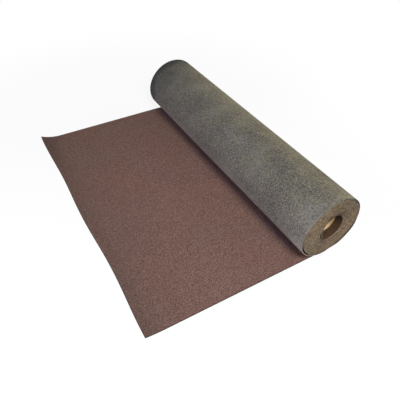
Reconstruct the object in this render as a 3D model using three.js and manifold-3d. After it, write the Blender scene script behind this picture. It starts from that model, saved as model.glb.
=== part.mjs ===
// A roll of roofing felt lying on the ground with its free end rolled out.
// Millimetres, +Z up. The roll's axis runs along Y and the free end lies towards -X.
// Two pieces: the felt, wound and laid in one length, and the cardboard tube it is wound on.
import * as THREE from 'three';
import { mergeVertices } from 'three/addons/utils/BufferGeometryUtils.js';
import Module from 'manifold-3d';

const wasm = await Module();
wasm.setup();

// ---- driving dimensions -------------------------------------------------------------------------
const FELT_WIDTH = 1000;
const FELT_LENGTH = 10160;      // sold as ten metres
const FELT_THICKNESS = 3.1;
const TURN_GAP = 0.75;          // air and sand between two turns, least over the top of the bore
const CORE_INSIDE = 76.2;       // a three inch hole
const CORE_WALL = 4;
const CORE_CLEARANCE = 0.3;     // between the tube and the first turn
const CORE_SETBACK = 27;        // from the ends of the coil to the ends of the tube
const BORE_RISE = 13;           // how far the first turn stands off the top of the tube
const COIL_SHIFT = 5;           // how far the wound turns have slid sideways inside the last one
const LOOSE_GAP = 5;            // between the coil and the last turn, low on the lead's side
const LEAD_LENGTH = 638;        // felt laid out flat, from under the roll to its cut end
const CUT_BOW = 3;              // how far the middle of the cut end falls back from its corners
const CUT_WAVE = 7;             // depth of the two hollows that the knife left on either side of it
const FAR_CURL_LIFT = 22;
const FAR_CURL_ALONG = 87;      // how far back along the lead the far corner starts to lift
const FAR_CURL_ACROSS = 270;    // and how far in across the cut end
const NEAR_CURL_LIFT = 5;
const NEAR_CURL_ALONG = 70;
const NEAR_CURL_ACROSS = 120;
const GROOVE_WIDTH = 1.4;       // between the rounded edges of two turns
const GROOVE_DEPTH = 1.5;

// ---- derived dimensions -------------------------------------------------------------------------
const PITCH = FELT_THICKNESS + TURN_GAP;
const CORE_OUTER_RADIUS = CORE_INSIDE / 2 + CORE_WALL;
const BORE_RADIUS = CORE_OUTER_RADIUS + CORE_CLEARANCE;
const HALF_WIDTH = FELT_WIDTH / 2;

// Turns that take up the wound length: the middle line of the felt is an even spiral.
const FIRST_TURN_LENGTH = 2 * Math.PI * (BORE_RADIUS + FELT_THICKNESS / 2);
const WOUND_LENGTH = FELT_LENGTH - LEAD_LENGTH;
const TURNS = (Math.sqrt(FIRST_TURN_LENGTH ** 2 + 4 * Math.PI * PITCH * WOUND_LENGTH) - FIRST_TURN_LENGTH)
    / (2 * Math.PI * PITCH);
const ROLL_RADIUS = BORE_RADIUS + PITCH * TURNS + FELT_THICKNESS;

const MERGE_DEPTH = 2 * TURN_GAP;   // how deep the last turn runs into the coil that carries it
const STUB_LENGTH = 60;         // laid felt that is drawn together with the last turn
const TURN_STEPS = 96;          // facets round the outside of the roll
const BORE_STEPS = 72;
const GROOVE_STEPS = 36;        // facets in one turn of the spiral groove

// ---- how the felt is wound ----------------------------------------------------------------------

// Angle round the roll's axis, from +X towards +Z. The last turn ends straight below the axis.
function woundAngle(turns) {
    return -Math.PI / 2 + 2 * Math.PI * (TURNS - turns);
}

// Radius of the felt's inner side after so many turns. Near the tube a turn lies round and then
// climbs quickly over the one below it. Further out the climb is spread over the whole turn.
function woundRadius(turns) {
    const whole = Math.floor(turns + 1e-9);
    const part = turns - whole;
    const climbShare = Math.min(1, 0.15 + 0.25 * whole);
    const climbed = Math.max(0, (part - 1 + climbShare) / climbShare);
    return BORE_RADIUS + PITCH * (whole + climbed);
}

// The coil has drawn in from the last turn between its side and its underside.
const LOOSE_FROM = 0.03;        // in turns, from straight below the axis up the lead's side
const LOOSE_TO = 0.3;
function looseGap(turns) {
    const around = turns - TURNS - Math.floor(turns - TURNS);
    const share = (around - LOOSE_FROM) / (LOOSE_TO - LOOSE_FROM);
    return share > 0 && share < 1 ? LOOSE_GAP * Math.sin(Math.PI * share) ** 2 : 0;
}

// The same for the turns of the coil, which have settled: the inner ones stand up off the tube,
// and the outer ones have drawn in where the last turn is loose.
function coilRadius(turns) {
    const outward = Math.min(1, turns / (TURNS - 1));
    const rise = BORE_RISE * Math.max(0, Math.sin(woundAngle(turns))) ** 2;
    return woundRadius(turns) + rise * (1 - outward) - looseGap(turns) * outward;
}

function pointAt(radius, angle) {
    return new THREE.Vector2(radius * Math.cos(angle), ROLL_RADIUS + radius * Math.sin(angle));
}

// ---- from outlines to solids --------------------------------------------------------------------

// Points go to the nearest 1/1024 mm, so faces drawn apart but meant to meet lie in one plane.
const POINTS_PER_MM = 1024;

function toSolid(geometry) {
    const plain = geometry.clone();
    plain.deleteAttribute('normal');
    plain.deleteAttribute('uv');
    const points = plain.attributes.position.array;
    for (let i = 0; i < points.length; i += 1) {
        points[i] = Math.round(points[i] * POINTS_PER_MM) / POINTS_PER_MM;
    }
    const merged = mergeVertices(plain, 0.1 / POINTS_PER_MM);
    return new wasm.Manifold(new wasm.Mesh({
        numProp: 3,
        vertProperties: new Float32Array(merged.attributes.position.array),
        triVerts: new Uint32Array(merged.index.array),
    }));
}

// An outline in the plane of the roll's end, drawn out along the roll's axis.
function extrudeAlongRoll(outline, holes, fromY, toY) {
    const isClockwise = THREE.ShapeUtils.isClockWise;
    const shape = new THREE.Shape(isClockwise(outline) ? outline.toReversed() : outline);
    shape.holes = holes.map((hole) => new THREE.Path(isClockwise(hole) ? hole : hole.toReversed()));
    const geometry = new THREE.ExtrudeGeometry(shape, { depth: toY - fromY, bevelEnabled: false });
    geometry.rotateX(Math.PI / 2);
    geometry.translate(0, toY, 0);
    return geometry;
}

// ---- the coil -----------------------------------------------------------------------------------

// Every turn but the last, with the bore that the first turn leaves.
function coilSolid() {
    const outline = [];
    for (let i = 0; i <= TURN_STEPS; i += 1) {
        const turns = TURNS - i / TURN_STEPS;
        outline.push(pointAt(coilRadius(turns - 1) + FELT_THICKNESS, woundAngle(turns)));
    }
    const bore = [];
    for (let i = 0; i <= BORE_STEPS; i += 1) {
        const turns = i / BORE_STEPS;
        bore.push(pointAt(coilRadius(turns), woundAngle(turns)));
    }
    return toSolid(extrudeAlongRoll(outline, [bore], -HALF_WIDTH - COIL_SHIFT, HALF_WIDTH - COIL_SHIFT));
}

// The cutter for the groove between the turns on one end: a bar with a pointed edge that follows
// the felt from just past the end of its first turn out to the start of its last.
function grooveCutter(endY, inward) {
    const fromTurns = 1.02;
    const toTurns = TURNS - 1.02;
    const steps = Math.ceil((toTurns - fromTurns) * GROOVE_STEPS);
    const positions = [];
    const indices = [];
    const section = [
        [-GROOVE_WIDTH / 2, 0],
        [-GROOVE_WIDTH / 2, -inward],
        [GROOVE_WIDTH / 2, -inward],
        [GROOVE_WIDTH / 2, 0],
        [0, inward * GROOVE_DEPTH],
    ];
    const sides = section.length;
    for (let i = 0; i <= steps; i += 1) {
        const turns = fromTurns + (toTurns - fromTurns) * i / steps;
        for (const [across, along] of section) {
            const point = pointAt(coilRadius(turns) - TURN_GAP / 2 + across, woundAngle(turns));
            positions.push(point.x, endY + along, point.y);
        }
    }
    for (let i = 0; i < steps; i += 1) {
        for (let side = 0; side < sides; side += 1) {
            const a = sides * i + side;
            const b = sides * i + (side + 1) % sides;
            indices.push(a, b, b + sides, a, b + sides, a + sides);
        }
    }
    const last = sides * steps;
    for (let side = 1; side < sides - 1; side += 1) {
        indices.push(0, side + 1, side, last, last + side, last + side + 1);
    }
    if (inward > 0) {
        for (let i = 0; i < indices.length; i += 3) {
            [indices[i + 1], indices[i + 2]] = [indices[i + 2], indices[i + 1]];
        }
    }
    const geometry = new THREE.BufferGeometry();
    geometry.setAttribute('position', new THREE.Float32BufferAttribute(positions, 3));
    geometry.setIndex(indices);
    return toSolid(geometry);
}

// ---- the last turn and the start of the lead ----------------------------------------------------

// The last turn runs over the roll, down its far side, under it, and out flat. Its inner side runs
// a little way into the coil, except where the coil has drawn in from it.
function lastTurnSolid() {
    const outline = [];
    const inside = [];
    for (let i = 0; i <= TURN_STEPS; i += 1) {
        const turns = TURNS - 1 + i / TURN_STEPS;
        const merge = looseGap(turns) > 0 ? 0 : MERGE_DEPTH;
        outline.push(pointAt(woundRadius(turns) + FELT_THICKNESS, woundAngle(turns)));
        inside.push(pointAt(woundRadius(turns) - merge, woundAngle(turns)));
    }
    outline.push(new THREE.Vector2(-STUB_LENGTH, 0));
    outline.push(new THREE.Vector2(-STUB_LENGTH, FELT_THICKNESS));
    outline.push(new THREE.Vector2(0, FELT_THICKNESS));
    return toSolid(extrudeAlongRoll(outline, [inside], -HALF_WIDTH, HALF_WIDTH));
}

// ---- the lead -----------------------------------------------------------------------------------

// Length of the lead at a place across its width, down to the cut end.
function leadLength(y) {
    const across = 0.5 + y / FELT_WIDTH;
    const bow = CUT_BOW * Math.sin(Math.PI * across);
    const wave = CUT_WAVE * Math.sin(2 * Math.PI * across) ** 2;
    return LEAD_LENGTH - bow - wave;
}

// Both corners of the cut end curl up, the far one the most. Each bends past a line that slants
// across the corner, and the bend draws the corner back towards that line as it lifts.
const CORNERS = [
    { side: 1, lift: FAR_CURL_LIFT, along: FAR_CURL_ALONG, across: FAR_CURL_ACROSS },
    { side: -1, lift: NEAR_CURL_LIFT, along: NEAR_CURL_ALONG, across: NEAR_CURL_ACROSS },
];
function curl(fromCutEnd, y) {
    const moved = new THREE.Vector3();
    for (const corner of CORNERS) {
        const slant = Math.hypot(1 / corner.along, 1 / corner.across);
        const share = 1 - fromCutEnd / corner.along - (HALF_WIDTH - corner.side * y) / corner.across;
        const pastLine = Math.max(0, share) / slant;
        const bend = corner.lift * slant ** 2;
        const drawnBack = 2 / 3 * bend ** 2 * pastLine ** 3;
        moved.x += drawnBack / corner.along / slant;
        moved.y -= corner.side * drawnBack / corner.across / slant;
        moved.z += bend * pastLine ** 2;
    }
    return moved;
}

// A flat sheet whose rows stand closer together towards the cut end and towards both edges.
function leadSolid() {
    const geometry = new THREE.BoxGeometry(1, 1, 1, 16, 24, 1);
    const position = geometry.attributes.position;
    for (let i = 0; i < position.count; i += 1) {
        const y = HALF_WIDTH * Math.sin(position.getY(i) * Math.PI);
        const length = leadLength(y);
        const fromCutEnd = (length - STUB_LENGTH / 2) * (position.getX(i) + 0.5) ** 1.6;
        const top = position.getZ(i) > 0 ? FELT_THICKNESS : 0;
        const moved = curl(fromCutEnd, y);
        position.setXYZ(i, fromCutEnd - length + moved.x, y + moved.y, top + moved.z);
    }
    return toSolid(geometry);
}

// ---- the felt and its tube ----------------------------------------------------------------------

const coil = coilSolid()
    .subtract(grooveCutter(-HALF_WIDTH - COIL_SHIFT, 1))
    .subtract(grooveCutter(HALF_WIDTH - COIL_SHIFT, -1));
const felt = coil.add(lastTurnSolid()).add(leadSolid());

function meshOf(solid, name, material) {
    const made = solid.getMesh();
    const geometry = new THREE.BufferGeometry();
    geometry.setAttribute('position', new THREE.BufferAttribute(new Float32Array(made.vertProperties), 3));
    geometry.setIndex(new THREE.BufferAttribute(new Uint32Array(made.triVerts), 1));
    geometry.computeVertexNormals();
    const mesh = new THREE.Mesh(geometry, material);
    mesh.name = name;
    return mesh;
}

const feltMesh = meshOf(felt, 'felt', new THREE.MeshStandardMaterial({
    color: 0x6f675c,
    roughness: 0.95,
    metalness: 0,
}));

// The tube is a ring of wall turned round the roll's axis. It slid with the coil.
const coreHalfLength = HALF_WIDTH - CORE_SETBACK;
const coreProfile = [
    new THREE.Vector2(CORE_INSIDE / 2, -coreHalfLength),
    new THREE.Vector2(CORE_OUTER_RADIUS, -coreHalfLength),
    new THREE.Vector2(CORE_OUTER_RADIUS, coreHalfLength),
    new THREE.Vector2(CORE_INSIDE / 2, coreHalfLength),
    new THREE.Vector2(CORE_INSIDE / 2, -coreHalfLength),
];
const coreGeometry = new THREE.LatheGeometry(coreProfile, BORE_STEPS);
coreGeometry.translate(0, -COIL_SHIFT, ROLL_RADIUS);
const coreMesh = meshOf(toSolid(coreGeometry), 'core_tube', new THREE.MeshStandardMaterial({
    color: 0xb98f55,
    roughness: 0.9,
    metalness: 0,
}));

// ---- placing ------------------------------------------------------------------------------------

// The part stands with the middle of its bounding box over the origin.
const box = new THREE.Box3().setFromObject(feltMesh);
const middle = box.getCenter(new THREE.Vector3());
const roll = new THREE.Group();
roll.name = 'roll_of_roofing_felt';
for (const mesh of [feltMesh, coreMesh]) {
    mesh.geometry.translate(-middle.x, -middle.y, -box.min.z);
    roll.add(mesh);
}

export default roll;
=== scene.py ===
import math

import bpy
from mathutils import Matrix, Vector, noise


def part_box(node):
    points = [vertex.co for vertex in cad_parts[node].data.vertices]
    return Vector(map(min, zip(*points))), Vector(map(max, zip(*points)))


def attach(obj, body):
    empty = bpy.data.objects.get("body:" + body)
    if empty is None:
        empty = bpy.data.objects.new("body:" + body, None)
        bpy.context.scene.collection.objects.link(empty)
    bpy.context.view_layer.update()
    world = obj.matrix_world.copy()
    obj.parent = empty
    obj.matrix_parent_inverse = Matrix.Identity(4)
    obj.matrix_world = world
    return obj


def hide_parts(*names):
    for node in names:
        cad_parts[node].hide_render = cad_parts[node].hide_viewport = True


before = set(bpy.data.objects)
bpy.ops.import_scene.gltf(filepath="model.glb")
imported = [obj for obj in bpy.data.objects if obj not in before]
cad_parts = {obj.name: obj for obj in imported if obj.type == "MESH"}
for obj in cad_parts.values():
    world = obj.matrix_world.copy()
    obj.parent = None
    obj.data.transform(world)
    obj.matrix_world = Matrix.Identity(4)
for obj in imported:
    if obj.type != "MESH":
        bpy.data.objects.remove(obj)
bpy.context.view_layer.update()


# ==== The coil of felt ===========================================================================
# Mineral-surfaced bitumen felt, a metre wide, machine wound with its granule face inwards. All but
# its last turn lie tight, as a solid coil. The cut edges of the turns show on both ends as a
# spiral, and the felt's inner end makes a step in the bore.

FELT_WIDTH = 1.0
FELT_LENGTH = 10.16
FELT_THICKNESS = 0.0031
TURN_GAP = 0.00075  # air and sand between two turns
LEAD_LENGTH = 0.638  # felt laid out flat, from under the roll to its cut end
COIL_SHIFT = 0.005  # how far the coil has slid sideways inside the last turn
BORE_RADIUS = 0.0424
BORE_RISE = 0.013  # how far the first turn stands off the top of the tube
FIRST_CLIMB = 0.15  # share of the first turn that climbs over the felt's inner end
CLIMB_GROWTH = 0.25  # added to that share in each later turn
LOOSE_GAP = 0.005  # between the coil and the last turn, low on the lead's side
LOOSE_FROM = 0.03  # in turns, from straight below the axis up the lead's side
LOOSE_TO = 0.3
ROUNDING = 1e-9  # in turns, so that a whole turn isn't taken for a little less
PITCH = FELT_THICKNESS + TURN_GAP

# Turns that take up the wound length: each is longer than the one below it by the same amount.
first_turn = 2 * math.pi * (BORE_RADIUS + FELT_THICKNESS / 2)
turn_growth = 2 * math.pi * PITCH
wound_length = FELT_LENGTH - LEAD_LENGTH
TURNS = (math.sqrt(first_turn ** 2 + 2 * turn_growth * wound_length) - first_turn) / turn_growth
ROLL_RADIUS = BORE_RADIUS + PITCH * TURNS + FELT_THICKNESS

tube_low, tube_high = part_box("core_tube")
felt_low, felt_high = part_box("felt")
AXIS_X = (tube_low.x + tube_high.x) / 2
AXIS_Z = felt_low.z + ROLL_RADIUS
NEAR_EDGE = felt_high.y - FELT_WIDTH
FAR_EDGE = felt_high.y
MIDDLE_Y = (NEAR_EDGE + FAR_EDGE) / 2


def wound_angle(turns):
    """Angle round the axis, from +X towards +Z. The last turn ends straight below the axis."""
    return -math.pi / 2 + 2 * math.pi * (TURNS - turns)


def wound_radius(turns):
    """Radius of the felt's granule face after so many turns."""
    whole = math.floor(turns + ROUNDING)
    climb = min(1.0, FIRST_CLIMB + CLIMB_GROWTH * whole)
    return BORE_RADIUS + PITCH * (whole + max(0.0, (turns - whole - 1 + climb) / climb))


def loose_share(turns):
    """How loose the last turn stands: 1 low on the lead's side, 0 over most of the turn."""
    share = ((turns - TURNS) % 1.0 - LOOSE_FROM) / (LOOSE_TO - LOOSE_FROM)
    return math.sin(math.pi * share) ** 2 if 0 < share < 1 else 0.0


def coil_radius(turns):
    """The same in the settled coil, whose inner turns stand up off the tube."""
    outward = min(1.0, max(0.0, turns) / (TURNS - 1))
    rise = BORE_RISE * max(0.0, math.sin(wound_angle(turns))) ** 2
    return wound_radius(turns) + rise * (1 - outward) - LOOSE_GAP * loose_share(turns) * outward


def at(radius, angle, y):
    """The point at a radius and an angle round the roll's axis."""
    return Vector((AXIS_X + radius * math.cos(angle), y, AXIS_Z + radius * math.sin(angle)))


# The cut edge of the felt is a flat strip with seven columns, from the gap below the turn, over
# its worn edge, to the gap above it. Past the tube's ends the first turns have sprung inwards, and
# the felt's inner end stands off from the next turn.
TURN_STEPS = 112
EDGE_WEAR = 0.0006
EDGE_LIP = 0.0001
EDGE_SECTION = [  # how far across the felt, and how far below the top of its edge
    (0.0, 0.0019),
    (EDGE_LIP, 0.0010),
    (EDGE_WEAR, 0.0003),
    (FELT_THICKNESS / 2, 0.0),
    (FELT_THICKNESS - EDGE_WEAR, 0.0003),
    (FELT_THICKNESS - EDGE_LIP, 0.0010),
    (FELT_THICKNESS, 0.0019),
]
SPRUNG_IN = 0.004
SPRUNG_ANGLE = math.radians(165)
SPRUNG_SPREAD = math.radians(75)
SPRUNG_TURNS = 5
SPRUNG_DEPTH = 0.026  # along the axis, from the coil's end
TIP_OFF = 0.0038
TIP_TURNS = 0.15
TIP_SLOT = 0.018
LEAST_GAP = 0.00002
SLACK = 0.001  # in turns, less than a step
WELD = 0.000002
strip_steps = round((TURNS - 1) * TURN_STEPS)
last_column = len(EDGE_SECTION) - 1


def gap_below(turns):
    """Gap between a turn and the one below it, never quite closed."""
    return max(LEAST_GAP, coil_radius(turns) - coil_radius(turns - 1) - FELT_THICKNESS)


def sprung_in(turns):
    """How far an inner turn has sprung towards the axis past the tube's end."""
    away = (wound_angle(turns) - SPRUNG_ANGLE + math.pi) % (2 * math.pi) - math.pi
    share = math.cos(math.pi / 2 * min(1.0, abs(away) / SPRUNG_SPREAD)) ** 2
    return SPRUNG_IN * share * max(0.0, 1 - turns / SPRUNG_TURNS)


def tip_share(turns):
    """1 at the felt's inner end, and 0 a short way into the first turn."""
    return max(0.0, 1 - (turns / TIP_TURNS) ** 6)


bpy.ops.object.select_all(action="DESELECT")
bpy.ops.mesh.primitive_grid_add(x_subdivisions=strip_steps, y_subdivisions=last_column, size=2)
felt = bpy.context.object
felt.name = "felt_roll"
GRANULES, BACK, CUT, RIM = range(4)
for _ in (GRANULES, BACK, CUT, RIM):
    felt.data.materials.append(None)
turns_at = felt.data.attributes.new("turns", "FLOAT", "POINT")
depth_at = felt.data.attributes.new("depth", "FLOAT", "POINT")
sprung_at = felt.data.attributes.new("sprung", "FLOAT", "POINT")
for vertex in felt.data.vertices:
    row = round((vertex.co.x + 1) / 2 * strip_steps)
    column = round((vertex.co.y + 1) / 2 * last_column)
    turns = TURNS - 1 - (strip_steps - row) / TURN_STEPS
    across, depth = EDGE_SECTION[column]
    radius = coil_radius(turns) + across
    sprung = sprung_in(turns) + TIP_OFF * tip_share(turns)
    if column == 0 and turns > 1 - SLACK:
        radius -= gap_below(turns) / 2
        depth = max(depth, TIP_SLOT * tip_share(turns - 1))
        sprung = sprung_in(turns)
    elif column == last_column and turns < TURNS - 2 - SLACK:
        radius = coil_radius(turns + 1) - gap_below(turns + 1) / 2
        depth = max(depth, TIP_SLOT * tip_share(turns))
        sprung = sprung_in(turns + 1)
    vertex.co = at(radius, wound_angle(turns), NEAR_EDGE - COIL_SHIFT)
    turns_at.data[vertex.index].value = turns
    depth_at.data[vertex.index].value = depth
    sprung_at.data[vertex.index].value = sprung

bpy.ops.object.mode_set(mode="EDIT")
bpy.ops.mesh.select_all(action="SELECT")
bpy.ops.mesh.remove_doubles(threshold=WELD)
for length in (SPRUNG_DEPTH, FELT_WIDTH - 2 * SPRUNG_DEPTH, SPRUNG_DEPTH):
    bpy.ops.mesh.extrude_region_move(TRANSFORM_OT_translate={"value": (0, length, 0)})
bpy.ops.mesh.select_all(action="SELECT")
bpy.ops.mesh.normals_make_consistent(inside=False)
bpy.ops.object.mode_set(mode="OBJECT")

# The edges of the turns stand a little in or out from each other, and wander as they go round.
WANDER = 0.0008
WANDER_LIFT = 0.75  # keeps the noise above zero, so that it only draws edges in
TURN_APART = 3.7  # steps through the noise, so that no two turns and no two ends wander alike
END_APART = 5.0
AT_END = 0.001
for vertex in felt.data.vertices:
    turns = felt.data.attributes["turns"].data[vertex.index].value
    depth = felt.data.attributes["depth"].data[vertex.index].value
    sprung = felt.data.attributes["sprung"].data[vertex.index].value
    angle = wound_angle(turns)
    for end, edge in ((-1, NEAR_EDGE - COIL_SHIFT), (1, FAR_EDGE - COIL_SHIFT)):
        if abs(vertex.co.y - edge) < AT_END:
            slid = noise.noise(Vector((math.floor(turns) * TURN_APART + turns, END_APART * end, 0.5)))
            inset = depth + WANDER * (slid + WANDER_LIFT)
            vertex.co.y = edge - end * max(0.0, inset)
            vertex.co -= Vector((math.cos(angle), 0, math.sin(angle))) * sprung
felt.data.update()

RADIAL = 0.84  # cosine to the way out from the axis, under which a face is part of the cut edge
for face in felt.data.polygons:
    outward = Vector((face.center.x - AXIS_X, 0, face.center.z - AXIS_Z)).normalized()
    facing = face.normal.dot(outward)
    face.material_index = CUT if abs(facing) < RADIAL else BACK if facing > 0 else GRANULES


# ---- the last turn and the lead -----------------------------------------------------------------
# The same length of felt goes on as the loose last turn, and under the roll into the lead, laid
# granule face up. Its cut end was made with a knife in two strokes, and both corners curl up.

MERGE_DEPTH = 2 * TURN_GAP  # how deep the last turn runs into the coil that carries it
CUT_BOW = 0.003  # how far the middle of the cut end falls back from its corners
CUT_WAVE = 0.007  # depth of the two hollows that the knife left on either side of it
CURLS = [
    {"side": 1, "lift": 0.022, "along": 0.087, "across": 0.27},
    {"side": -1, "lift": 0.005, "along": 0.07, "across": 0.12},
]
LAST_TURN = 2 * math.pi * (ROLL_RADIUS - PITCH / 2)
TONGUE = 0.015  # felt past the last turn, which runs into the coil
TONGUE_SUNK = 0.0005
SHEET_STEPS = 208
SHEET_COLUMNS = 80
ON_EDGE = 0.00001


def lead_length(y):
    """Length of the lead at a distance from its middle line."""
    across = 0.5 + y / FELT_WIDTH
    bow = math.sin(math.pi * across)
    wave = math.sin(2 * math.pi * across) ** 2
    return LEAD_LENGTH - CUT_BOW * bow - CUT_WAVE * wave


def curl(from_cut_end, y):
    """Each corner bends up past a line that slants across it, and draws back as it lifts."""
    moved = Vector((0, 0, 0))
    for corner in CURLS:
        slant = math.hypot(1 / corner["along"], 1 / corner["across"])
        from_side = FELT_WIDTH / 2 - corner["side"] * y
        share = 1 - from_cut_end / corner["along"] - from_side / corner["across"]
        past_line = max(0.0, share) / slant
        bend = corner["lift"] * slant ** 2
        drawn_back = 2 / 3 * bend ** 2 * past_line ** 3
        moved.x += drawn_back / corner["along"] / slant
        moved.y -= corner["side"] * drawn_back / corner["across"] / slant
        moved.z += bend * past_line ** 2
    return moved


# The flat slab: its cut end at x = 0, its back face at z = 0.
sheet_length = LEAD_LENGTH + LAST_TURN + TONGUE
bpy.ops.object.select_all(action="DESELECT")
bpy.ops.mesh.primitive_grid_add(x_subdivisions=SHEET_STEPS, y_subdivisions=SHEET_COLUMNS, size=2)
sheet = bpy.context.object
for _ in (GRANULES, BACK, CUT, RIM):
    sheet.data.materials.append(None)
bpy.ops.object.mode_set(mode="EDIT")
bpy.ops.mesh.select_all(action="SELECT")
bpy.ops.transform.resize(value=(sheet_length / 2, FELT_WIDTH / 2, 1))
bpy.ops.transform.translate(value=(sheet_length / 2, 0, 0))
bpy.ops.mesh.extrude_region_move(TRANSFORM_OT_translate={"value": (0, 0, FELT_THICKNESS)})
bpy.ops.mesh.select_all(action="SELECT")
bpy.ops.mesh.normals_make_consistent(inside=False)
bpy.ops.mesh.select_all(action="DESELECT")
bpy.ops.mesh.select_mode(type="EDGE")
bpy.ops.object.mode_set(mode="OBJECT")


def on_rim(place):
    """True on the cut end and on both long edges, and not on the end of the tongue."""
    return place.x < ON_EDGE or abs(place.y) > FELT_WIDTH / 2 - ON_EDGE


for edge in sheet.data.edges:
    a, b = (sheet.data.vertices[i].co for i in edge.vertices)
    edge.select = on_rim(a) and on_rim(b) and on_rim((a + b) / 2) and abs(a.z - b.z) < ON_EDGE
bpy.ops.object.mode_set(mode="EDIT")
bpy.ops.mesh.bevel(offset=EDGE_WEAR, segments=2, profile=0.5)
bpy.ops.object.mode_set(mode="OBJECT")

LEVEL = 0.9  # a face that looks up or down by more than this isn't part of the rim
for face in sheet.data.polygons:
    up = face.normal.z
    face.material_index = GRANULES if up > LEVEL else BACK if up < -LEVEL else RIM

# The slab is rolled up from the far end of its tongue, which runs into the coil. There its edges
# are level with the coil's. They wander along the last turn, and come back in line with the lead's.
SLIDES = (  # back from the lead, in turns, and how far the edges have slid there
    (0.0, 0.0),
    (0.1, 0.005),
    (0.18, 0.005),
    (0.27, 0.0012),
    (0.42, 0.0012),
    (1.0, COIL_SHIFT),
)


def slide(back_turns):
    """How far the last turn has slid sideways, smoothly from one of the slides to the next."""
    for (start, low), (end, high) in zip(SLIDES, SLIDES[1:]):
        if back_turns <= end:
            quarter = math.pi / 2 * (back_turns - start) / (end - start)
            return low + (high - low) * math.sin(quarter) ** 2
    return COIL_SHIFT


for vertex in sheet.data.vertices:
    along, y, height = vertex.co
    if along <= LEAD_LENGTH:
        length = lead_length(y)
        from_cut_end = along * length / LEAD_LENGTH
        moved = curl(from_cut_end, y)
        vertex.co = Vector((AXIS_X + from_cut_end - length, MIDDLE_Y + y, height)) + moved
    else:
        turns = TURNS - (along - LEAD_LENGTH) / LAST_TURN
        outer = wound_radius(turns) + FELT_THICKNESS
        inner = wound_radius(turns) - (0.0 if loose_share(turns) > 0 else MERGE_DEPTH)
        if turns < TURNS - 1:
            outer -= TONGUE_SUNK
        radius = outer + (inner - outer) * height / FELT_THICKNESS
        vertex.co = at(radius, wound_angle(turns), MIDDLE_Y + y - slide(TURNS - turns))

# Coil and slab are one length of felt, so they become one solid.
bpy.ops.object.select_all(action="DESELECT")
felt.select_set(True)
bpy.context.view_layer.objects.active = felt
joined = felt.modifiers.new("joined", "BOOLEAN")
joined.operation = "UNION"
joined.solver = "MANIFOLD"
joined.object = sheet
bpy.ops.object.modifier_apply(modifier="joined")
bpy.data.objects.remove(sheet)

# The union leaves vertices where only two edges meet, and those would fold into stray triangles.
meeting = [0] * len(felt.data.vertices)
for edge in felt.data.edges:
    for index in edge.vertices:
        meeting[index] += 1
bpy.ops.object.mode_set(mode="EDIT")
bpy.ops.mesh.select_mode(type="VERT")
bpy.ops.mesh.select_all(action="DESELECT")
bpy.ops.object.mode_set(mode="OBJECT")
for vertex in felt.data.vertices:
    vertex.select = meeting[vertex.index] == 2
bpy.ops.object.mode_set(mode="EDIT")
bpy.ops.mesh.dissolve_verts()
bpy.ops.object.mode_set(mode="OBJECT")

FELT_CREASE = math.radians(32)  # faces that meet at more than this have a sharp edge
for name in ("turns", "depth", "sprung"):
    felt.data.attributes.remove(felt.data.attributes[name])
bpy.ops.object.shade_smooth_by_angle(angle=FELT_CREASE)


# ---- the felt's materials -----------------------------------------------------------------------
# Each starts from its base colour, and what lies on that follows in order. Lengths are in metres,
# and a pair of colours is the darkest and the palest grain of one tone.

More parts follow.
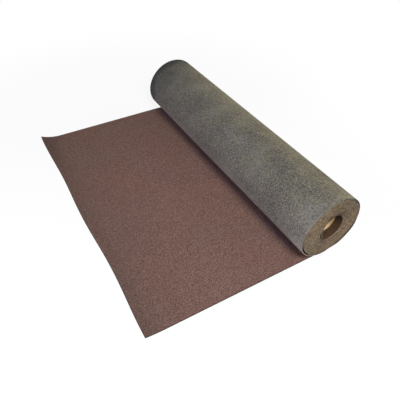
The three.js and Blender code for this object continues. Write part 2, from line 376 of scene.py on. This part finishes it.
class Wire:
    """A socket of a material. Sums written on wires add Math nodes."""

    def __init__(self, tree, socket=None):
        self.tree = tree
        self.socket = socket

    def node(self, kind, settings=None, values=None, output=0):
        """Adds a node: its settings first, then a value or a wire for each socket."""
        made = self.tree.nodes.new(kind)
        for name, value in (settings or {}).items():
            setattr(made, name, value)
        for name, value in (values or {}).items():
            if isinstance(value, Wire):
                self.tree.links.new(value.socket, made.inputs[name])
            else:
                made.inputs[name].default_value = value
        return Wire(self.tree, made.outputs[output])

    def maths(self, operation, *values, clamp=False):
        settings = {"operation": operation, "use_clamp": clamp}
        return self.node("ShaderNodeMath", settings, dict(enumerate(values)))

    def __add__(self, other):
        return self.maths("ADD", self, other)

    def __radd__(self, other):
        return self.maths("ADD", other, self)

    def __sub__(self, other):
        return self.maths("SUBTRACT", self, other)

    def __rsub__(self, other):
        return self.maths("SUBTRACT", other, self)

    def __mul__(self, other):
        return self.maths("MULTIPLY", self, other)

    def __rmul__(self, other):
        return self.maths("MULTIPLY", other, self)

    def clipped(self):
        return self.maths("ADD", self, 0.0, clamp=True)

    def between(self, low, high):
        """0 below low, 1 above high, and smooth from one to the other."""
        limits = {"Value": self, "From Min": low, "From Max": high}
        return self.node("ShaderNodeMapRange", {"interpolation_type": "SMOOTHSTEP"}, limits)

    def mix(self, share, a, b):
        """Colour a, with a share of colour b in it. A Mix node's colours are its sockets 6 and 7."""
        settings = {"data_type": "RGBA", "clamp_factor": True}
        return self.node("ShaderNodeMix", settings, {0: share, 6: a, 7: b}, output=2)

    def place(self):
        """The point on the object."""
        return self.node("ShaderNodeTexCoord", output="Object")

    def along(self, axis):
        """One coordinate of the point on the object."""
        return self.node("ShaderNodeSeparateXYZ", None, {0: self.place()}, output=axis)

    def vectors(self, operation, *values, output="Vector"):
        settings = {"operation": operation}
        return self.node("ShaderNodeVectorMath", settings, dict(enumerate(values)), output)

    def from_axis(self):
        """Distance of the point from the axis of the roll."""
        place = self.vectors("SUBTRACT", self.place(), (AXIS_X, 0, AXIS_Z))
        return self.vectors("LENGTH", self.vectors("MULTIPLY", place, (1, 0, 1)), output="Value")

    def noise(self, scale, detail=2.0, roughness=0.5, stretched=None):
        where = self.place()
        if stretched:
            where = self.node("ShaderNodeMapping", None, {"Vector": where, "Scale": stretched})
        values = {"Vector": where, "Scale": scale, "Detail": detail, "Roughness": roughness}
        return self.node("ShaderNodeTexNoise", {"normalize": True}, values)

    def cells(self, scale, output):
        values = {"Vector": self.place(), "Scale": scale}
        return self.node("ShaderNodeTexVoronoi", {"feature": "F1"}, values, output)

    def grains(self, scale):
        """A random level for each grain of sand or slate."""
        return self.node("ShaderNodeSeparateColor", None, {0: self.cells(scale, "Color")})

    def domes(self, scale):
        """Distance from the middle of each grain, for its rounded top."""
        return self.cells(scale, "Distance")


def blotched(middle, *patterns):
    """A level from 0 to 1 with patterns laid over it, each given as its strength and its wire."""
    level = middle
    for strength, pattern in patterns:
        level = level + strength * (pattern - 0.5)
    return level.clipped()


def colour(red, green, blue):
    """A colour written 0 to 255 as a screen shows it, in the linear values that shaders take."""
    shown = [channel / 255 for channel in (red, green, blue)]
    linear = [c / 12.92 if c <= 0.04045 else ((c + 0.055) / 1.055) ** 2.4 for c in shown]
    return (*linear, 1.0)


def new_material(name):
    material = bpy.data.materials.new(name)
    material.use_nodes = True
    return material, Wire(material.node_tree), material.node_tree.nodes["Principled BSDF"]


def dress(shader, body, relief, roughness, specular, strength, distance):
    """Gives a shader its colour, its gloss and its bump."""
    bump = {"Strength": strength, "Distance": distance, "Height": relief}
    bumped = body.node("ShaderNodeBump", None, bump)
    body.tree.links.new(body.socket, shader.inputs["Base Color"])
    body.tree.links.new(bumped.socket, shader.inputs["Normal"])
    shader.inputs["Roughness"].default_value = roughness
    shader.inputs["Specular IOR Level"].default_value = specular


# Granule face: crushed slate, red-brown, bedded in bitumen. Pale flakes here and there are painted
# glint. The tone drifts over the sheet and is duller towards the cut end, and painted shade darkens
# it towards the far edge. A margin along the edges is bare.
DULL_SLATE = colour(65, 42, 34), colour(137, 109, 102)
WARM_SLATE = colour(67, 40, 32), colour(139, 108, 100)
SHADOW_PLUM_SLATE = colour(76, 55, 61), colour(134, 105, 113)
SHADED_BORE_SLATE = colour(49, 34, 23), colour(92, 68, 50)
PAINTED_GLINT = colour(168, 135, 122)
DULLED_AND_SHADED_SLATE = colour(52, 43, 40)
BARE_BITUMEN = colour(38, 30, 27)
BORE_TOP_SHADE = colour(18, 12, 10)
SLATE_SCALE = 640  # grains to a metre
GLINT_SCALE = 900
BARE_MARGIN = 0.004
granules, wire, shader = new_material("slate_granules")
lengthways = wire.along("Y")
sideways = wire.along("X") - AXIS_X
height = wire.along("Z")
grain = wire.grains(SLATE_SCALE)
clump = wire.noise(scale=400, detail=2.0, roughness=0.8)
level = blotched(0.42, (0.7, grain), (1.7, clump))
drift = wire.noise(scale=5, detail=1.5, roughness=0.5).between(0.35, 0.65)
body = wire.mix(drift, wire.mix(level, *DULL_SLATE), wire.mix(level, *WARM_SLATE))
# Painted glint: pale flakes, painted bright where slate would sparkle.
glint = wire.grains(GLINT_SCALE).between(0.85, 0.9)
body = wire.mix(0.65 * glint, body, PAINTED_GLINT)
# The cut end has the shape that lead_length gives it.
round_way = (lengthways - MIDDLE_Y) * (2 * math.pi / FELT_WIDTH)
wave = wire.maths("SINE", round_way)
bow = wire.maths("COSINE", round_way * 0.5)
from_cut = wire.along("X") - (AXIS_X - LEAD_LENGTH) - CUT_BOW * bow - CUT_WAVE * wave * wave
from_side = FELT_WIDTH / 2 - wire.maths("ABSOLUTE", lengthways - MIDDLE_Y)
# Duller towards the cut end. The share that grows towards the far edge is painted shade, where the
# light falls off.
worn = 0.16 * (1 - from_cut.between(0.0, 0.08)) + 0.24 * (1 - from_cut.between(0.0, 0.3))
worn = worn + 0.07 * lengthways.between(MIDDLE_Y, FAR_EDGE)
body = wire.mix(worn, body, DULLED_AND_SHADED_SLATE)
bare = 1 - wire.maths("MINIMUM", from_cut, from_side).between(0.0, BARE_MARGIN)
body = wire.mix(0.6 * bare, body, BARE_BITUMEN)
# Painted shade: plum in the roll's shadow by the near end, brown in the bore, near black at its top.
# Painted shade: the plum tint of the roll's shadow on the lead beside the near end.
shadow_tint = sideways.between(-0.1, -0.075) * lengthways.between(NEAR_EDGE, NEAR_EDGE + 0.08)
shadow_tint = shadow_tint * (1 - height.between(0.005, 0.01))
body = wire.mix(0.8 * shadow_tint, body, wire.mix(level, *SHADOW_PLUM_SLATE))
# Painted shade in the bore: darker brown on its walls, near black at its top.
body = wire.mix(height.between(0.04, 0.07), body, wire.mix(level, *SHADED_BORE_SLATE))
body = wire.mix(0.9 * height.between(0.12, 0.16), body, BORE_TOP_SHADE)
relief = (1 - wire.domes(SLATE_SCALE) * 1.3) * 0.7 + clump * 0.4
dress(shader, body, relief, roughness=0.92, specular=0.25, strength=0.8, distance=0.001)

# Back face: grey sand that keeps the turns from sticking. It is yellower and paler along the top.
# Painted light makes it paler by the near end and on the lead's side; painted shade darkens the far
# end.
COOL_SAND = colour(52, 50, 50), colour(115, 112, 109)
OLIVE_SAND = colour(54, 51, 45), colour(117, 114, 103)
LEAD_GLOW_SAND = colour(60, 56, 57), colour(128, 122, 119)
SHEEN_SAND = colour(84, 78, 80), colour(160, 151, 150)
YELLOW_SAND = colour(68, 63, 50), colour(143, 136, 115)
FAR_SHADE_SAND = colour(20, 22, 27), colour(50, 52, 58)
SHADED_SAND_IN_BORE = colour(22, 18, 17)
SAND_SCALE = 1000  # grains to a metre
back, wire, shader = new_material("sanded_back")
lengthways = wire.along("Y")
sideways = wire.along("X") - AXIS_X
height = wire.along("Z")
grain = wire.grains(SAND_SCALE)
clump = wire.noise(scale=210, detail=2.0, roughness=0.75)
cloud = wire.noise(scale=9, detail=3.0, roughness=0.6)
# Painted light: paler by the near end, in a patch over the top, and on the flank by the lead.
near_end_light = 1 - lengthways.between(NEAR_EDGE, NEAR_EDGE + 0.09)
painted_light = 0.2 * near_end_light + 0.2 * sideways.between(-0.09, 0.0) * lengthways.between(-0.35, 0.15)
painted_light = painted_light + 0.06 * sideways.between(-0.115, -0.05)
level = blotched(0.38 + painted_light, (0.7, grain), (2.4, clump), (0.85, cloud))
drift = wire.noise(scale=22, detail=3.0, roughness=0.6).between(0.3, 0.7)
body = wire.mix(drift, wire.mix(level, *COOL_SAND), wire.mix(level, *OLIVE_SAND))
# The edges of the tones wander with the cloud.
away = sideways + 0.06 * (cloud - 0.5)
# Painted light: rosier and paler on the lead's side, as the glow the lead throws up on the flank.
low = 1 - away.between(-0.13, -0.07)
body = wire.mix(0.7 * low, body, wire.mix(level, *LEAD_GLOW_SAND))
# Painted sheen: paler low on the lead's side, where the flank turns away, most by the near end.
painted_sheen = (1 - height.between(0.07, 0.13)) * (1 - sideways.between(-0.05, 0.0))
body = wire.mix((0.5 + 0.5 * near_end_light) * painted_sheen, body, wire.mix(level, *SHEEN_SAND))
top = away.between(-0.06, 0.05) * height.between(0.1, 0.19)
body = wire.mix(0.95 * top, body, wire.mix(level, *YELLOW_SAND))
# Painted shade: darker towards the far end, where the light falls off, and darkest near the far edge.
along = lengthways + 0.12 * (cloud - 0.5)
far_shade = 0.5 * (1 - 0.75 * away.between(-0.1, 0.0)) * along.between(FAR_EDGE - 0.36, FAR_EDGE + 0.03)
far_shade = far_shade + 0.5 * away.between(-0.1, 0.02) * along.between(FAR_EDGE - 0.15, FAR_EDGE + 0.01)
far_shade = wire.maths("MAXIMUM", far_shade, 0.85 * along.between(FAR_EDGE - 0.08, FAR_EDGE - 0.01))
body = wire.mix(far_shade, body, wire.mix(level, *FAR_SHADE_SAND))
# Painted shade: back faces inside the bore are near black.
body = wire.mix(0.9 * (1 - wire.from_axis().between(0.06, 0.08)), body, SHADED_SAND_IN_BORE)
dress(shader, body, level, roughness=0.95, specular=0.1, strength=0.4, distance=0.0005)

# Cut edges of the turns: bitumen and its carrier, dusted with sand. Painted shade darkens them low
# down, round the bore and at the top, and paints black the right outermost edge and those over the
# bore.
CUT_FELT = colour(70, 55, 37), colour(169, 150, 125)
SHADED_FELT = colour(50, 38, 26), colour(104, 86, 66)
SHADE_BLACK_FELT = colour(28, 21, 18)
cut, wire, shader = new_material("cut_edges")
sideways = wire.along("X") - AXIS_X
upright = wire.along("Z") - AXIS_Z
from_axis = wire.from_axis()
smear = wire.noise(scale=60, detail=3.0, roughness=0.6)
fleck = wire.noise(scale=290, detail=2.0, roughness=0.75)
level = blotched(0.5, (0.4, smear), (3.5, fleck))
body = wire.mix(level, *CUT_FELT)
# Painted shade: darker on the right side, most low down and round the bore, and along the top.
painted_shade = 0.15 + 0.3 * (0 - upright).between(0.01, 0.08)
painted_shade = painted_shade + 0.3 * (1 - from_axis.between(0.055, 0.095))
painted_shade = painted_shade + 0.3 * from_axis.between(0.07, 0.11) * (0.03 - upright).between(0.0, 0.03)
painted_shade = painted_shade * sideways.between(-0.09, -0.01)
painted_shade = painted_shade + 0.5 * (upright - 0.6 * sideways).between(0.0, 0.09)
body = wire.mix(painted_shade, body, wire.mix(level, *SHADED_FELT))
# Painted shade: black where the outermost turn meets the gap on the right, and on the edges over the
# bore.
black_shade = from_axis.between(0.109, 0.1115) * sideways.between(0.02, 0.06)
black_shade = black_shade + upright.between(0.046, 0.052) * (1 - from_axis.between(0.056, 0.063))
body = wire.mix(0.85 * black_shade, body, SHADE_BLACK_FELT)
dress(shader, body, fleck, roughness=0.85, specular=0.3, strength=0.3, distance=0.0004)

# Edges of the last turn and of the lead: the same cut, still black with bitumen, and dusted where
# the turn stands loose on the lead's side.
BLACK_RIM = colour(20, 16, 14), colour(56, 45, 38)
DUSTED_RIM = colour(88, 74, 62), colour(158, 142, 124)
rim, wire, shader = new_material("bitumen_rim")
fleck = wire.noise(scale=260, detail=2.0, roughness=0.7)
level = blotched(0.5, (2.2, fleck))
dusted = (AXIS_X - wire.along("X")).between(-0.02, 0.03) * wire.along("Z").between(0.004, 0.012)
body = wire.mix(dusted, wire.mix(level, *BLACK_RIM), wire.mix(level, *DUSTED_RIM))
dress(shader, body, fleck, roughness=0.7, specular=0.4, strength=0.3, distance=0.0004)

for index, material in ((GRANULES, granules), (BACK, back), (CUT, cut), (RIM, rim)):
    felt.data.materials[index] = material
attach(felt, "root")
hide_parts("felt")


# ==== The core tube ==============================================================================
# Kraft board strip wound on a slant into a tube and glued, then sawn to length. The strip's edges
# meet in a seam that runs round and round, outside one way and inside the other.

TUBE_RADIUS = (tube_high.x - tube_low.x) / 2
TUBE_WALL = 0.004
TUBE_Z = (tube_low.z + tube_high.z) / 2
SAWN_EDGE = 0.0005
STRIP_WIDTH = 0.118
STRIP_STEPS = 72
SEAM_SECTION = [  # how far across the strip, and how deep its face is pressed in
    (0.0, 0.0004),
    (0.0003, 0.0003),
    (0.0009, 0.0),
    (0.03, 0.0),
    (0.06, 0.0),
    (0.09, 0.0),
    (STRIP_WIDTH - 0.0009, 0.0),
    (STRIP_WIDTH - 0.0003, 0.0003),
    (STRIP_WIDTH, 0.0004),
]
SEAM_WELD = 0.00002
ON_PLANE = 0.00001
END_ON = 0.5  # a face that looks along the axis by more than this was sawn
BOARD_CREASE = math.radians(30)
SPARE_TURNS = 2  # of strip, before the near end's saw cut
strip_turns = math.ceil((tube_high.y - tube_low.y) / STRIP_WIDTH) + SPARE_TURNS
strip_steps = strip_turns * STRIP_STEPS
last_column = len(SEAM_SECTION) - 1
tube_skins = []
for radius, into_wall, hand in ((TUBE_RADIUS, -1, 1), (TUBE_RADIUS - TUBE_WALL, 1, -1)):
    bpy.ops.object.select_all(action="DESELECT")
    bpy.ops.mesh.primitive_grid_add(x_subdivisions=strip_steps, y_subdivisions=last_column, size=2)
    skin = bpy.context.object
    for vertex in skin.data.vertices:
        turns = round((vertex.co.x + 1) / 2 * strip_steps) / STRIP_STEPS
        across, depth = SEAM_SECTION[round((vertex.co.y + 1) / 2 * last_column)]
        y = tube_low.y + (turns - SPARE_TURNS) * STRIP_WIDTH + across
        vertex.co = at(radius + into_wall * depth, hand * 2 * math.pi * turns, y)
        vertex.co.z += TUBE_Z - AXIS_Z
    bpy.ops.object.mode_set(mode="EDIT")
    bpy.ops.mesh.select_all(action="SELECT")
    bpy.ops.mesh.remove_doubles(threshold=SEAM_WELD)
    for end, way in ((tube_low.y + SAWN_EDGE, -1), (tube_high.y - SAWN_EDGE, 1)):
        bpy.ops.mesh.select_all(action="SELECT")
        bpy.ops.mesh.bisect(
            plane_co=(0, end, 0), plane_no=(0, way, 0), clear_outer=True, threshold=ON_PLANE)
    bpy.ops.object.mode_set(mode="OBJECT")
    tube_skins.append(skin)

tube = tube_skins[0]
tube.name = "core_tube_board"
bpy.ops.object.select_all(action="DESELECT")
for skin in tube_skins:
    skin.select_set(True)
bpy.context.view_layer.objects.active = tube
bpy.ops.object.join()

# Each end: the two skins are drawn in by the worn saw cut, and the ring between them is closed.
for end, way in ((tube_low.y, -1), (tube_high.y, 1)):
    bpy.ops.object.mode_set(mode="EDIT")
    bpy.ops.mesh.select_mode(type="VERT")
    bpy.ops.mesh.select_all(action="DESELECT")
    bpy.ops.object.mode_set(mode="OBJECT")
    for vertex in tube.data.vertices:
        vertex.select = abs(vertex.co.y - end + way * SAWN_EDGE) < ON_PLANE
    bpy.ops.object.mode_set(mode="EDIT")
    bpy.ops.mesh.extrude_region_move(TRANSFORM_OT_translate={"value": (0, way * SAWN_EDGE, 0)})
    bpy.ops.object.mode_set(mode="OBJECT")
    for vertex in tube.data.vertices:
        if vertex.select:
            out = Vector((vertex.co.x, 0, vertex.co.z)) - Vector((AXIS_X, 0, TUBE_Z))
            worn = -SAWN_EDGE if out.length > TUBE_RADIUS - TUBE_WALL / 2 else SAWN_EDGE
            vertex.co += out.normalized() * worn
    bpy.ops.object.mode_set(mode="EDIT")
    bpy.ops.mesh.bridge_edge_loops()
bpy.ops.mesh.select_all(action="SELECT")
bpy.ops.mesh.normals_make_consistent(inside=False)
bpy.ops.object.mode_set(mode="OBJECT")
bpy.ops.object.shade_smooth_by_angle(angle=BOARD_CREASE)

SKIN, SAWN = range(2)
for _ in (SKIN, SAWN):
    tube.data.materials.append(None)
for face in tube.data.polygons:
    face.material_index = SAWN if abs(face.normal.y) > END_ON else SKIN

# Smooth kraft paper with fine fibres, darker where glue has come through.
KRAFT_PAPER = colour(190, 156, 108), colour(228, 202, 154)
FIBRE_STRETCH = (1.0, 0.2, 1.0)
board, wire, shader = new_material("kraft_skin")
fibre = wire.noise(scale=420, detail=3.0, roughness=0.6, stretched=FIBRE_STRETCH)
blotch = wire.noise(scale=35, detail=3.0, roughness=0.6)
level = blotched(0.5, (0.8, fibre), (0.7, blotch))
body = wire.mix(level, *KRAFT_PAPER)
dress(shader, body, fibre, roughness=0.62, specular=0.35, strength=0.3, distance=0.0002)

# The sawn ends show the plies and are browner.
SAWN_BOARD = colour(92, 60, 32), colour(168, 124, 76)
PLY_THICKNESS = 0.0006
sawn, wire, shader = new_material("sawn_plies")
ply = wire.maths("SINE", wire.from_axis() * (2 * math.pi / PLY_THICKNESS))
fuzz = wire.noise(scale=900, detail=3.0, roughness=0.6)
level = blotched(0.5 + 0.25 * ply, (0.9, fuzz))
body = wire.mix(level, *SAWN_BOARD)
dress(shader, body, level, roughness=0.9, specular=0.5, strength=0.4, distance=0.0002)

tube.data.materials[SKIN] = board
tube.data.materials[SAWN] = sawn
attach(tube, "root")
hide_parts("core_tube")


# ==== Floor and light ============================================================================
# A pale studio floor, faint light from all round, and three soft lamps: one high past the near end,
# one low on the lead's side and one low on the other. Seen directly, floor and air glow white.

FLOOR_SIZE = 30
FLOOR_DROP = 0.0004
FLOOR_PAINT = (0.86, 0.86, 0.86, 1)
SHADED_GLOW = 0.86  # how far the floor glows round the roll, where its shadow falls
SHADE_FADES = (0.65, 1.6)  # distances from the origin over which that grows to a full glow
AMBIENT = 0.12
WHITE = (1, 1, 1, 1)
LAMP_SIZE = 1.0
LAMPS = (  # name, place and power in watts
    ("key", (-0.36, -1.5, 2.1), 58),
    ("fill", (-2.75, 0.2, 0.7), 58),
    ("back_fill", (2.15, 0.0, 0.8), 24),
)
LIT_POINT = (0, 0, 0.05)


def seen_in_full(wire):
    """1 for the rays that show the studio itself: the camera's, a mirrored ray, one through glass."""
    shown = wire.node("ShaderNodeLightPath", output="Is Camera Ray")
    for kind in ("Is Glossy Ray", "Is Transmission Ray"):
        shown = wire.maths("MAXIMUM", shown, wire.node("ShaderNodeLightPath", output=kind))
    return shown


bpy.ops.object.select_all(action="DESELECT")
bpy.ops.mesh.primitive_plane_add(size=FLOOR_SIZE, location=(0, 0, -FLOOR_DROP))
floor = bpy.context.object
floor.name = "floor"
pale, wire, shader = new_material("studio_floor")
shader.inputs["Base Color"].default_value = FLOOR_PAINT
shader.inputs["Roughness"].default_value = 1.0
shader.inputs["Specular IOR Level"].default_value = 0.0
distance = wire.vectors("LENGTH", wire.place(), output="Value")
share = seen_in_full(wire) * (SHADED_GLOW + (1 - SHADED_GLOW) * distance.between(*SHADE_FADES))
glow = wire.node("ShaderNodeEmission", None, {"Color": WHITE, "Strength": 1.0})
lit = Wire(wire.tree, shader.outputs["BSDF"])
shown = wire.node("ShaderNodeMixShader", None, {0: share, 1: lit, 2: glow})
wire.tree.links.new(shown.socket, wire.tree.nodes["Material Output"].inputs["Surface"])
floor.data.materials.append(pale)

world = bpy.data.worlds.new("studio")
world.use_nodes = True
bpy.context.scene.world = world
wire = Wire(world.node_tree)
strength = AMBIENT + (1 - AMBIENT) * seen_in_full(wire)
background = world.node_tree.nodes["Background"]
background.inputs["Color"].default_value = WHITE
wire.tree.links.new(strength.socket, background.inputs["Strength"])

for name, place, power in LAMPS:
    lamp_data = bpy.data.lights.new(name, "AREA")
    lamp_data.shape = "DISK"
    lamp_data.size = LAMP_SIZE
    lamp_data.energy = power
    lamp = bpy.data.objects.new(name, lamp_data)
    bpy.context.scene.collection.objects.link(lamp)
    lamp.location = place
    lamp.rotation_euler = (Vector(LIT_POINT) - lamp.location).to_track_quat("-Z", "Y").to_euler()


# ==== Camera =====================================================================================
# A camera 1.1 m up, past the near end and on the lead's side, that looks down at 40 degrees. Its
# lens is shifted: what lies straight ahead is left of the middle of the picture, and above it.

PICTURE = 400
FOCAL_LENGTH = 429.488  # in pixels
STRAIGHT_AHEAD = (160.12, 161.824)  # the pixel that the lens points at
SENSOR = 36
AZIMUTH = -0.497417  # this and the next two in radians
ELEVATION = 0.696178
TILT = 0.013672
CAMERA_AT = (AXIS_X - 0.886877, MIDDLE_Y - 1.029254, 1.116433)
camera_data = bpy.data.cameras.new("camera")
camera_data.sensor_width = SENSOR
camera_data.lens = FOCAL_LENGTH / PICTURE * SENSOR
camera_data.shift_x = (PICTURE / 2 - STRAIGHT_AHEAD[0]) / PICTURE
camera_data.shift_y = (STRAIGHT_AHEAD[1] - PICTURE / 2) / PICTURE
camera = bpy.data.objects.new("camera", camera_data)
bpy.context.scene.collection.objects.link(camera)
level = math.cos(ELEVATION)
back_way = Vector((math.sin(AZIMUTH) * level, -math.cos(AZIMUTH) * level, math.sin(ELEVATION)))
right = (-back_way).cross(Vector((0, 0, 1))).normalized()
up = right.cross(-back_way)
right, up = (
    math.cos(TILT) * right + math.sin(TILT) * up,
    math.cos(TILT) * up - math.sin(TILT) * right,
)
turned = Matrix((right, up, back_way)).transposed().to_4x4()
camera.matrix_world = Matrix.Translation(CAMERA_AT) @ turned
bpy.context.scene.camera = camera
bpy.context.scene.view_settings.view_transform = "Standard"
